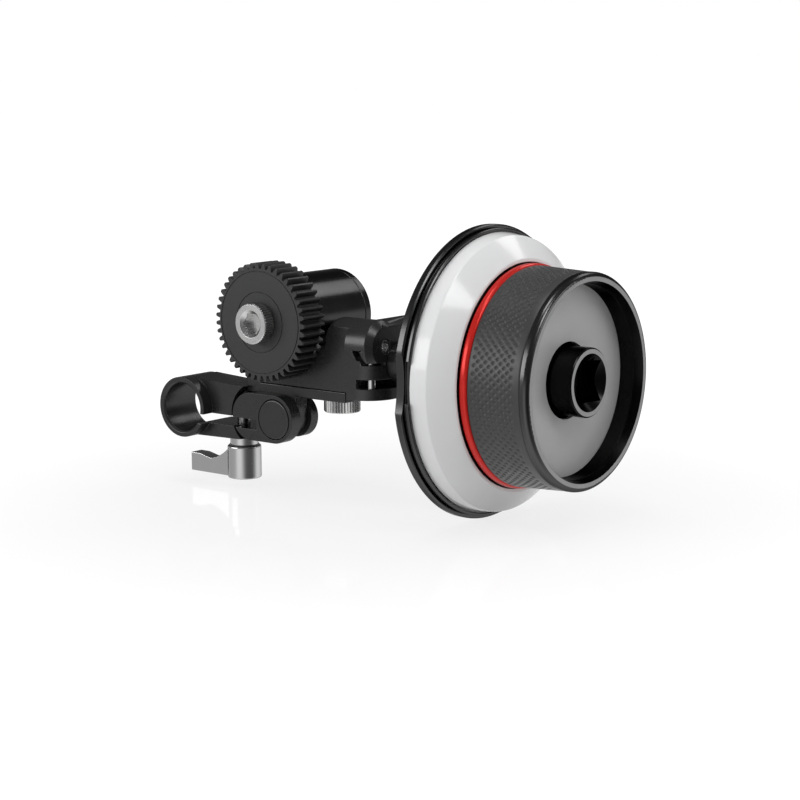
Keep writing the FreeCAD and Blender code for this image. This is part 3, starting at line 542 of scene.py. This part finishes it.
# The backdrop that metal mirrors: dim above the horizon, pale below it except to the sides.
def backdrop_level(tree, heading):
    bright_below = tree.nodes.new("ShaderNodeMath")
    bright_below.operation = "MULTIPLY"
    right_side = ramp_along(tree, heading, (0.93, -0.25, -0.1), 0.45, 0.95, 0.95, 0.1)
    left_side = ramp_along(tree, heading, (-0.8, -0.6, 0), 0.6, 0.95, 1, 0.5)
    tree.links.new(right_side, bright_below.inputs[0])
    tree.links.new(left_side, bright_below.inputs[1])
    above = ramp_along(tree, heading, (0, 0, 1), -0.03, 0.12, 0, 1)
    mixed = tree.nodes.new("ShaderNodeMix")
    mixed.inputs["B"].default_value = 0.15
    tree.links.new(above, mixed.inputs["Factor"])
    tree.links.new(bright_below.outputs["Value"], mixed.inputs["A"])
    return mixed.outputs["Result"]


# Gives camera and transmission rays one shader, glossy rays another and all others the third.
def sort_rays(tree, lit, mirrored, white):
    ray = tree.nodes.new("ShaderNodeLightPath")
    direct = tree.nodes.new("ShaderNodeMath")
    direct.operation = "MAXIMUM"
    tree.links.new(ray.outputs["Is Camera Ray"], direct.inputs[0])
    tree.links.new(ray.outputs["Is Transmission Ray"], direct.inputs[1])
    glossy = tree.nodes.new("ShaderNodeMixShader")
    tree.links.new(ray.outputs["Is Glossy Ray"], glossy.inputs["Fac"])
    tree.links.new(lit.outputs[0], glossy.inputs[1])
    tree.links.new(mirrored.outputs[0], glossy.inputs[2])
    seen = tree.nodes.new("ShaderNodeMixShader")
    tree.links.new(direct.outputs[0], seen.inputs["Fac"])
    tree.links.new(glossy.outputs[0], seen.inputs[1])
    tree.links.new(white.outputs[0], seen.inputs[2])
    return seen.outputs[0]


def studio_world():
    world = bpy.data.worlds.new("studio")
    bpy.context.scene.world = world
    world.use_nodes = True
    tree = world.node_tree
    tree.nodes.clear()
    out = tree.nodes.new("ShaderNodeOutputWorld")
    room, backdrop, white = [tree.nodes.new("ShaderNodeBackground") for _ in range(3)]
    for glow in (room, backdrop, white):
        glow.inputs["Color"].default_value = (1, 1, 1, 1)
    room.inputs["Strength"].default_value = 0.5
    white.inputs["Strength"].default_value = 1.0
    heading = tree.nodes.new("ShaderNodeTexCoord")
    tree.links.new(backdrop_level(tree, heading.outputs["Generated"]), backdrop.inputs["Strength"])
    tree.links.new(sort_rays(tree, room, backdrop, white), out.inputs["Surface"])


def softbox(name, place, aim, size, power):
    lamp = bpy.data.lights.new(name, "AREA")
    lamp.shape = "RECTANGLE"
    lamp.size, lamp.size_y = size
    lamp.energy = power
    holder = bpy.data.objects.new(name, lamp)
    holder.location = place
    holder.rotation_euler = (Vector(aim) - Vector(place)).to_track_quat("-Z", "Y").to_euler()
    bpy.context.scene.collection.objects.link(holder)


# Held by its turn about Z, its tilt down and its roll.
def studio_camera():
    turn, tilt, roll = math.radians(38.29), math.radians(9.43), math.radians(-0.25)
    right = Vector((math.cos(turn), math.sin(turn), 0))
    ahead = Vector((-math.sin(turn) * math.cos(tilt), math.cos(turn) * math.cos(tilt), -math.sin(tilt)))
    up = right.cross(ahead)
    side = math.cos(roll) * right + math.sin(roll) * up
    top = -math.sin(roll) * right + math.cos(roll) * up
    lens = bpy.data.cameras.new("camera")
    lens.lens = 90
    lens.sensor_width = 36
    lens.clip_start = 0.01
    camera = bpy.data.objects.new("camera", lens)
    pose = Matrix((side, top, -ahead)).transposed().to_4x4()
    pose.translation = (0.4373, -0.4506, 0.1047)
    camera.matrix_world = pose
    bpy.context.scene.collection.objects.link(camera)
    bpy.context.scene.camera = camera


studio_camera()
studio_floor()
studio_world()
middle = (0.065, 0.01, 0.012)
softbox("key", (-0.5, -0.76, 0.33), middle, (0.8, 0.4), 4.0)
softbox("top", (0.05, -0.1, 1.0), middle, (0.5, 0.3), 2.2)
softbox("back_window", (0.2, 0.78, 0.68), (0.113, 0.01, 0.056), (0.5, 0.24), 1.1)
softbox("right", (0.95, 0.45, 0.3), middle, (0.5, 0.3), 1.0)
softbox("front_window", (0.79, -0.1, 0.76), (0.114, -0.011, 0.047), (0.3, 0.4), 2.2)
bpy.context.scene.view_settings.view_transform = "Standard"
